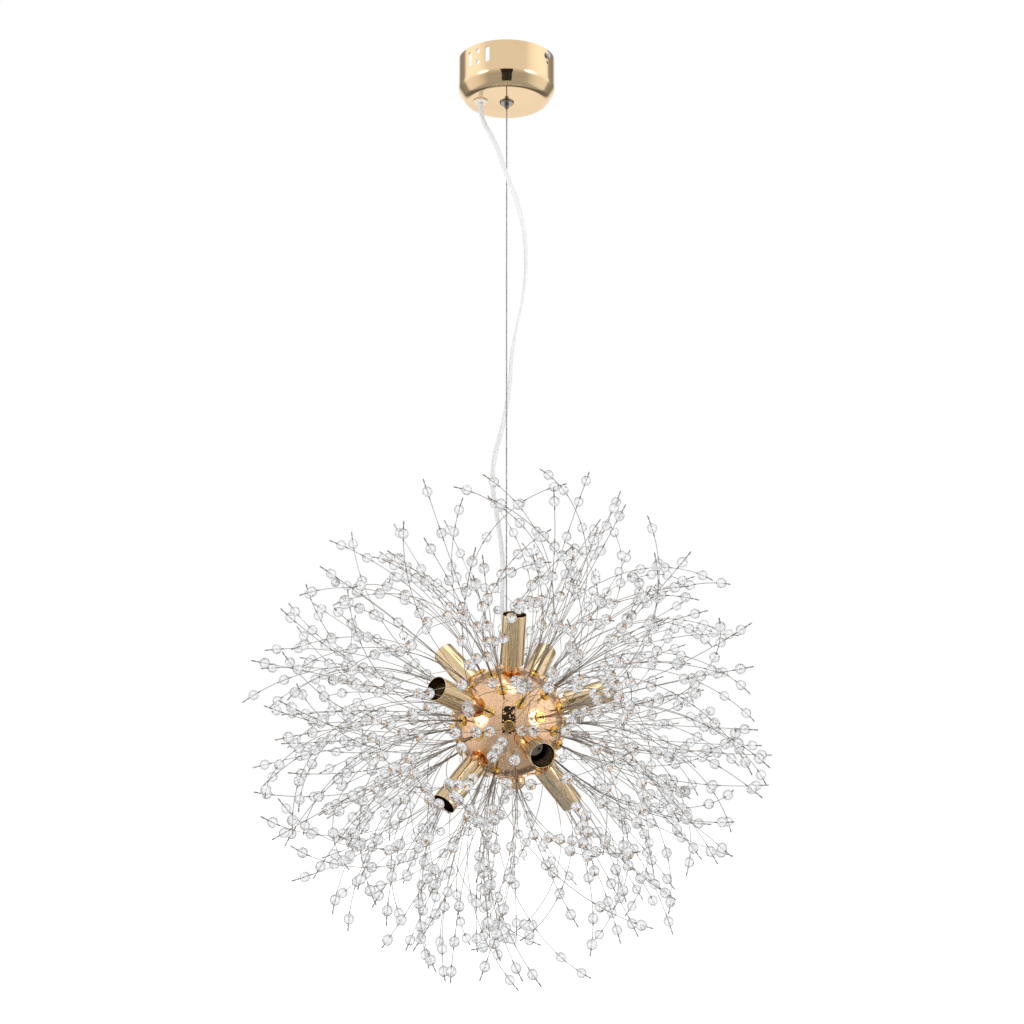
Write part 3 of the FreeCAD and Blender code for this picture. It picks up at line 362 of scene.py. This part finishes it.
CHAMPAGNE = plated("champagne_gold_plating", (0.89, 0.66, 0.40), (0.82, 0.585, 0.34), 0.05)
CUP_GOLD = plated("champagne_gold_tube", (0.80, 0.61, 0.37), (0.70, 0.52, 0.30), 0.06)
GOLD = plated("polished_gold_plating", (0.90, 0.58, 0.17), (0.78, 0.46, 0.11), 0.1)
ROSE = plated("rose_gold_plating", (0.92, 0.60, 0.37), (0.88, 0.55, 0.32), 0.03)
BRASS = plated("turned_brass", (0.72, 0.53, 0.27), (0.52, 0.36, 0.16), 0.25)
# Painted shade: a darker, duller gold on the cups' inner faces stands for the shade inside the tubes.
CUP_PAINTED_SHADE = plated("painted_shade_tube_inside", (0.36, 0.25, 0.13), (0.22, 0.15, 0.08), 0.22)
NICKEL = plated("bright_nickel_plating", (0.36, 0.35, 0.33), (0.24, 0.23, 0.21), 0.05)
ZINC = zinc_plated()
WIRE = spring_wire()
ROPE = rope_steel()
COPPER = tinned_copper()
CLEAR = clear_plastic()
CRYSTAL = cut_crystal()
CERAMIC_PAINTED_SHADE = ceramic_with_painted_shade()
WHITE = moulded_plastic("white_moulding", (0.86, 0.86, 0.84), (0.78, 0.78, 0.75))
IVORY = moulded_plastic("translucent_bushing", (0.82, 0.76, 0.66), (0.70, 0.60, 0.46))
LEADS = moulded_plastic("silicone_sleeving", (0.80, 0.78, 0.72), (0.70, 0.67, 0.60))

SLOT_MATERIALS = {
    "champagne_gold": CHAMPAGNE,
    "polished_gold": GOLD,
    "rose_gold": ROSE,
    "zinc_steel": ZINC,
    "bright_nickel": NICKEL,
    "steel_rope": ROPE,
    "dark_wire": WIRE,
    "crystal": CRYSTAL,
    "clear_insulation": CLEAR,
    "brass": BRASS,
    "ceramic_white": CERAMIC_PAINTED_SHADE,
    "white_plastic": WHITE,
    "lead_insulation": LEADS,
}


def dress_nodes():
    """Every CAD node gets its slot's material."""
    for part in frame["record"]["subparts"]:
        mesh = nodes[part["node"]].data
        mesh.materials.clear()
        bushing = part["node"].endswith("cord_bushing")
        mesh.materials.append(IVORY if bushing else SLOT_MATERIALS[part["material_slot"]])


# ---- power cord ----------------------------------------------------------------------------------

# The cord's route from the canopy's bushing to the hub's: the same points as the CAD tube, in metres.
CORD_ROUTE = [
    Vector((-0.0270, -0.0035, -0.0471)),
    Vector((-0.0272, -0.0036, -0.0570)),
    Vector((-0.0235, -0.0052, -0.0700)),
    Vector((-0.0105, -0.0075, -0.0940)),
    Vector((-0.0005, -0.0075, -0.1260)),
    Vector((0.0110, -0.0065, -0.1540)),
    Vector((0.0195, -0.0040, -0.1910)),
    Vector((0.0200, -0.0015, -0.2350)),
    Vector((0.0125, 0.0010, -0.2750)),
    Vector((0.0050, 0.0045, -0.3090)),
    Vector((0.0035, 0.0065, -0.3450)),
    Vector((-0.0035, 0.0075, -0.3860)),
    Vector((-0.0130, 0.0065, -0.4170)),
    Vector((-0.0145, 0.0055, -0.4490)),
    Vector((-0.0085, 0.0065, -0.4830)),
    Vector((-0.0030, 0.0075, -0.5230)),
    Vector((-0.0045, 0.0070, -0.5600)),
    Vector((-0.0032, 0.0058, -0.5930)),
    Vector((-0.0022, 0.0064, -0.62321)),
]
CORD_WIDTH = 0.005
CORD_CORE = 0.00062
CORD_TWIST = 0.72


def cord_turn(i, step):
    """How far the flat twin has turned at that point of its length, in radians."""
    return TAU * i * step / CORD_TWIST + 0.35


def twin_section(turn):
    """The flat twin's outline: two round lobes joined by a web."""
    lobe, points = CORD_WIDTH / 4, 10
    out = []
    for side in (1, -1):
        for k in range(points):
            angle = -1.15 + 2.3 * k / (points - 1)
            x = side * (lobe + lobe * math.cos(angle))
            y = side * lobe * math.sin(angle)
            out.append((x * math.cos(turn) - y * math.sin(turn), x * math.sin(turn) + y * math.cos(turn)))
    return out


def core_section(side, turn):
    lobe, sides = CORD_WIDTH / 4 * side, 10
    cx, cy = lobe * math.cos(turn), lobe * math.sin(turn)
    angles = [TAU * k / sides for k in range(sides)]
    return [(cx + CORD_CORE * math.cos(angle), cy + CORD_CORE * math.sin(angle)) for angle in angles]


def power_cord():
    step = 0.002
    line = centre_line(CORD_ROUTE)
    points = even(line, step)
    insulation = add_mesh("cord_insulation", *tube(points, lambda i: twin_section(cord_turn(i, step))), CLEAR)
    cores = add_mesh(
        "cord_cores",
        *merge([tube(points, lambda i, s=s: core_section(s, cord_turn(i, step))) for s in (-1, 1)]),
        COPPER,
    )
    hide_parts("power_cord")
    for piece in (insulation, cores):
        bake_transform(piece)


power_cord()

# ---- suspension rope -----------------------------------------------------------------------------


def suspension_rope():
    """Six strands laid round a seventh, as wide as the CAD rod."""
    low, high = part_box("suspension_cable")
    radius = (high[0] - low[0]) / 2
    strand, pitch, step = radius / 3, 0.011, 0.0009
    count = int((high[2] - low[2]) / step)
    parts = []
    for k in range(7):
        lay = 0 if k == 6 else radius - strand
        line = []
        for i in range(count + 1):
            z = low[2] + (high[2] - low[2]) * i / count
            turn = TAU * ((z - low[2]) / pitch + k / 6)
            line.append(Vector((lay * math.cos(turn), lay * math.sin(turn), z)))
        ring = [(strand * math.cos(TAU * s / 6), strand * math.sin(TAU * s / 6)) for s in range(6)]
        parts.append(tube(line, lambda i, ring=ring: ring))
    rope = add_mesh("suspension_rope", *merge(parts), ROPE)
    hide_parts("suspension_cable")
    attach(rope, "pendant")


# ---- beads and crimps ----------------------------------------------------------------------------

HUB_CENTRE = (np.array(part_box("hub_shell")[0]) + np.array(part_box("hub_shell")[1])) / 2
BEADS_PER_NODE = 175
BEAD_ROWS = [row for row in ("tip", "middle", "inner") if row + "_beads_upper" in nodes]
BEAD_NODES = [f"{row}_beads_{level}" for level in ("upper", "lower") for row in BEAD_ROWS]
BEAD_FACES = 10
BEAD_RADIUS = 0.00499
BEAD_BORE = 0.0005
WIRE_RADIUS = 0.0003
CRIMP_RADIUS = 0.00062
CRIMP_LENGTH = 0.003
CRIMP_SIDES = 12
TIP_REACH = 0.0122  # from a tip bead's centre to its wire's end collar


def mesh_points(node):
    """A CAD node's vertices as an array."""
    mesh = nodes[node].data
    flat = np.empty(len(mesh.vertices) * 3)
    mesh.vertices.foreach_get("co", flat)
    return flat.reshape(-1, 3)


def bead_places(node):
    """Each bead's centre and bore direction, pointing away from the hub, from the CAD node's equal solids."""
    places = []
    for points in mesh_points(node).reshape(BEADS_PER_NODE, -1, 3):
        points = np.unique(points.round(7), axis=0)
        centre = points.mean(axis=0)
        spread = np.linalg.eigh(np.cov((points - centre).T))
        axis = spread[1][:, -1]
        if axis @ (centre - HUB_CENTRE) < 0:
            axis = -axis
        places.append((Vector(centre), Vector(axis)))
    return places


def crystal_form(radius, bore):
    """A round bead cut with rows of small facets that stand half a step apart, bored through."""
    rows = [(72, 0.0), (46, 0.5), (22, 0.0), (0, 0.5), (-22, 0.0), (-46, 0.5), (-72, 0.0)]
    n, verts, faces = BEAD_FACES, [], []
    for latitude, shift in rows:
        flat, rise = math.cos(math.radians(latitude)), math.sin(math.radians(latitude))
        for k in range(n):
            turn = TAU * (k + shift) / n
            verts.append(Vector((flat * math.cos(turn), flat * math.sin(turn), rise)) * radius)
    for sign in (1, -1):
        for k in range(n):
            turn = TAU * k / n
            height = math.sin(math.radians(rows[0][0])) * radius * sign
            verts.append(Vector((bore * math.cos(turn), bore * math.sin(turn), height)))
    for row in range(len(rows) - 1):
        top, low = row * n, (row + 1) * n
        for k in range(n):
            after = (k + 1) % n
            if rows[row][1]:
                faces += [(top + k, low + after, top + after), (top + k, low + k, low + after)]
            else:
                faces += [(top + k, low + k, top + after), (low + k, low + after, top + after)]
    last, upper = (len(rows) - 1) * n, len(rows) * n
    lower = upper + n
    for k in range(n):
        after = (k + 1) % n
        faces.append((k, after, upper + after, upper + k))
        faces.append((last + after, last + k, lower + k, lower + after))
        faces.append((upper + after, lower + after, lower + k, upper + k))
    return verts, faces


def crystals(places_by_node):
    chance = random.Random(11)
    for node, places in places_by_node.items():
        parts = []
        for centre, axis in places:
            form = crystal_form(BEAD_RADIUS, BEAD_BORE)
            spin = Matrix.Rotation(chance.uniform(0, TAU), 3, "Z")
            parts.append(placed(([spin @ v for v in form[0]], form[1]), centre, axis))
        beads = add_mesh("crystals_" + node, *merge(parts), CRYSTAL, smooth=False)
        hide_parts(node)
        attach(beads, "pendant")


def crimp_form(length, bore):
    """A small turned collar, rounded at both ends."""
    half, r = length / 2, CRIMP_RADIUS
    profile = [(bore, -half), (r * 0.8, -half), (r, -half * 0.8)]
    profile += [(r, half * 0.8), (r * 0.8, half), (bore, half)]
    return turned(profile, CRIMP_SIDES)


def crimps(places_by_node):
    """Two collars that hold each bead, and one that ends each wire."""
    form = crimp_form(CRIMP_LENGTH, WIRE_RADIUS)
    r = CRIMP_RADIUS
    end_profile = [(0, -0.0036), (r * 0.8, -0.0036), (r, -0.0032), (r, 0.0003), (r * 0.7, 0.0006), (0, 0.0006)]
    end_form = turned(end_profile, CRIMP_SIDES)
    offset = BEAD_RADIUS * math.cos(math.radians(22.5)) + CRIMP_LENGTH / 2
    for level in ("upper", "lower"):
        parts = []
        for beads in zip(*[places_by_node[f"{row}_beads_{level}"] for row in BEAD_ROWS]):
            (tip, tip_way), (inner, inner_way) = beads[0], beads[-1]
            bend = inner_way.angle(tip_way)
            curl = bend / (tip - inner).length
            side = (tip_way * math.cos(bend) - inner_way).normalized()
            for place, way in beads:
                normal = (side - way * side.dot(way)).normalized()
                for sign in (-1, 1):
                    along = sign * offset
                    spot = place + way * along + normal * (0.5 * curl * along * along)
                    parts.append(placed(form, spot, way + normal * (curl * along)))
            normal = (side - tip_way * side.dot(tip_way)).normalized()
            spot = tip + tip_way * TIP_REACH + normal * (0.5 * curl * TIP_REACH**2)
            parts.append(placed(end_form, spot, tip_way + normal * (curl * TIP_REACH)))
        piece = add_mesh("crimps_" + level, *merge(parts), WIRE)
        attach(piece, "pendant")


# ---- lamp cups -----------------------------------------------------------------------------------


CUP_RADIUS = 0.0118
CUP_INSIDE = 0.01105  # faces within this radius get the painted shade of the tubes' insides
CUP_WALL = 0.0008
CUP_HOLE = 0.0051
CUP_FLOOR = 0.06005  # from the hub's centre
CUP_MOUTH = 0.11
CUP_HEEL = 0.0008
CUP_CREASE = math.radians(40)


def lamp_cups():
    """Drawn tubes with a rolled lip at the mouth and a rounded heel."""
    radius, wall, floor, mouth = CUP_RADIUS, CUP_WALL, CUP_FLOOR, CUP_MOUTH
    lip = wall / 2
    profile = [(CUP_HOLE, floor), (radius - CUP_HEEL, floor)]
    for a in (0.4, 0.8, 1.2, math.pi / 2):
        profile.append((radius - CUP_HEEL * (1 - math.sin(a)), floor + CUP_HEEL * (1 - math.cos(a))))
    for a in [math.pi * k / 8 for k in range(9)]:
        profile.append((radius - lip + lip * math.cos(a), mouth - lip + lip * math.sin(a)))
    profile += [(radius - wall, floor + wall * 1.5 + 0.0005), (radius - wall - 0.0005, floor + wall * 1.5)]
    profile += [(CUP_HOLE, floor + wall * 1.5)]
    sides = 96
    form = turned(profile, sides)
    inside = [radius < CUP_INSIDE and height > floor + wall for radius, height in profile]
    for mount in frame["record"]["mounts"]:
        if mount["name"].startswith("lamp_socket_"):
            number = mount["name"].rsplit("_", 1)[1]
            cup = add_mesh("cup_" + number, *placed(form, HUB_CENTRE, mount["axis"]), CUP_GOLD)
            # The inner faces take the second material, which is painted shade for the inside of the tube.
            cup.data.materials.append(CUP_PAINTED_SHADE)
            for index, polygon in enumerate(cup.data.polygons):
                ring = index // sides
                polygon.material_index = int(inside[ring] and inside[(ring + 1) % len(profile)])
            cup.data.set_sharp_from_angle(angle=CUP_CREASE)
            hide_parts("lamp_cup_" + number)
            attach(cup, "pendant")


# ---- stage ---------------------------------------------------------------------------------------

FLOOR_DROP = 0.75
FLOOR_HALF = 14
SOFTBOXES = [
    (Vector((0.82, -0.55, 0.13)), 2.4),
    (Vector((-0.82, -0.55, 0.1)), 1.8),
    (Vector((0.1, -0.3, 0.9)), 0.6),
]
SEEN_THROUGH = 0.7  # how far what glass lets through is lifted towards white


def studio_world():
    """A white studio, with round soft lamps and greyer parts that the camera doesn't see directly."""
    world = bpy.data.worlds.new("studio")
    bpy.context.scene.world = world
    world.use_nodes = True
    tree = world.node_tree
    tree.nodes.clear()

    def make(kind, **settings):
        made = tree.nodes.new("ShaderNode" + kind)
        for key, setting in settings.items():
            setattr(made, key, setting)
        return made

    def math_node(operation, first, second):
        made = make("Math", operation=operation)
        for socket, source in zip(made.inputs, (first, second)):
            if isinstance(source, (int, float)):
                socket.default_value = source
            else:
                tree.links.new(source, socket)
        return made.outputs["Value"]

    def span(source, low, high, to_low, to_high):
        made = make("MapRange", interpolation_type="SMOOTHSTEP")
        for key, number in (("From Min", low), ("From Max", high), ("To Min", to_low), ("To Max", to_high)):
            made.inputs[key].default_value = number
        tree.links.new(source, made.inputs["Value"])
        return made.outputs["Result"]

    direction = make("TexCoord").outputs["Generated"]
    split = make("SeparateXYZ")
    tree.links.new(direction, split.inputs["Vector"])
    room = span(split.outputs["Z"], -0.8, 0.8, 0.42, 0.9)
    room = math_node("ADD", room, span(math_node("ABSOLUTE", split.outputs["X"], 0), 0.6, 0.95, 0.0, 0.4))
    room = math_node("MULTIPLY", room, span(split.outputs["Y"], 0.3, 0.5, 1.0, 0.35))
    backdrop = span(split.outputs["Y"], 0.72, 0.88, 0.0, 1.0)
    level = math_node("ADD", room, math_node("MULTIPLY", backdrop, math_node("SUBTRACT", 1.0, room)))
    for place, strength in SOFTBOXES:
        dot = make("VectorMath", operation="DOT_PRODUCT")
        tree.links.new(direction, dot.inputs[0])
        dot.inputs[1].default_value = place.normalized()
        level = math_node("ADD", level, span(dot.outputs["Value"], 0.95, 0.992, 0.0, strength))
    seen, lit = make("Background"), make("Background")
    seen.inputs["Color"].default_value = (1, 1, 1, 1)
    lit.inputs["Color"].default_value = (1, 1, 1, 1)
    path, choice = make("LightPath"), make("MixShader")
    through = math_node("MULTIPLY", path.outputs["Is Transmission Ray"], SEEN_THROUGH)
    level = math_node("ADD", level, math_node("MULTIPLY", through, math_node("SUBTRACT", 1.0, level)))
    tree.links.new(level, lit.inputs["Strength"])
    tree.links.new(path.outputs["Is Camera Ray"], choice.inputs["Fac"])
    tree.links.new(lit.outputs["Background"], choice.inputs[1])
    tree.links.new(seen.outputs["Background"], choice.inputs[2])
    tree.links.new(choice.outputs["Shader"], make("OutputWorld").inputs["Surface"])


def soft_light(name, place, target, size, power):
    data = bpy.data.lights.new(name, "AREA")
    data.shape = "RECTANGLE"
    data.size, data.size_y = size
    data.energy = power
    light = bpy.data.objects.new(name, data)
    light.location = place
    light.rotation_euler = (Vector(target) - Vector(place)).to_track_quat("-Z", "Y").to_euler()
    bpy.context.scene.collection.objects.link(light)


def floor():
    low = CAD_BOX[0][2] - FLOOR_DROP
    shader = Shader("pale_floor", (0.93, 0.93, 0.93), roughness=0.9, emission_strength=0.45)
    shader.main.inputs["Emission Color"].default_value = (1, 1, 1, 1)
    shader.tint(shader.spread(shader.noise(6.0, 3.0), 0.0, 1.0), (0.93, 0.93, 0.93), (0.91, 0.91, 0.91))
    size = FLOOR_HALF
    plane = add_mesh(
        "floor",
        [Vector((x, y, low)) for x, y in ((-size, -size), (size, -size), (size, size), (-size, size))],
        [(0, 1, 2, 3)],
        shader.material,
    )
    plane.visible_glossy = plane.visible_transmission = False


def black_card(name, place, size):
    """A dark card that only reflections see, as beside a studio camera."""
    shader = Shader("black_card", (0.012, 0.011, 0.01), roughness=0.8)
    half_x, half_z = size[0] / 2, size[1] / 2
    x, y, z = place
    corners = [(-half_x, -half_z), (half_x, -half_z), (half_x, half_z), (-half_x, half_z)]
    card = add_mesh(name, [Vector((x + a, y, z + b)) for a, b in corners], [(0, 1, 2, 3)], shader.material)
    card.visible_camera = card.visible_diffuse = card.visible_shadow = False


def stage():
    studio_world()
    floor()
    black_card("camera_card", (0.01, -1.62, -0.56), (0.8, 1.7))
    soft_light("top", (0.3, -0.3, 1.7), (0, 0, -0.6), (1.6, 1.6), 6)
    settings = bpy.context.scene.view_settings
    settings.view_transform = "Standard"
    settings.look = "None"


# ---- the whole pendant ---------------------------------------------------------------------------

dress_nodes()
suspension_rope()
lamp_cups()
bead_sets = {node: bead_places(node) for node in BEAD_NODES}
crystals(bead_sets)
crimps(bead_sets)
stage()
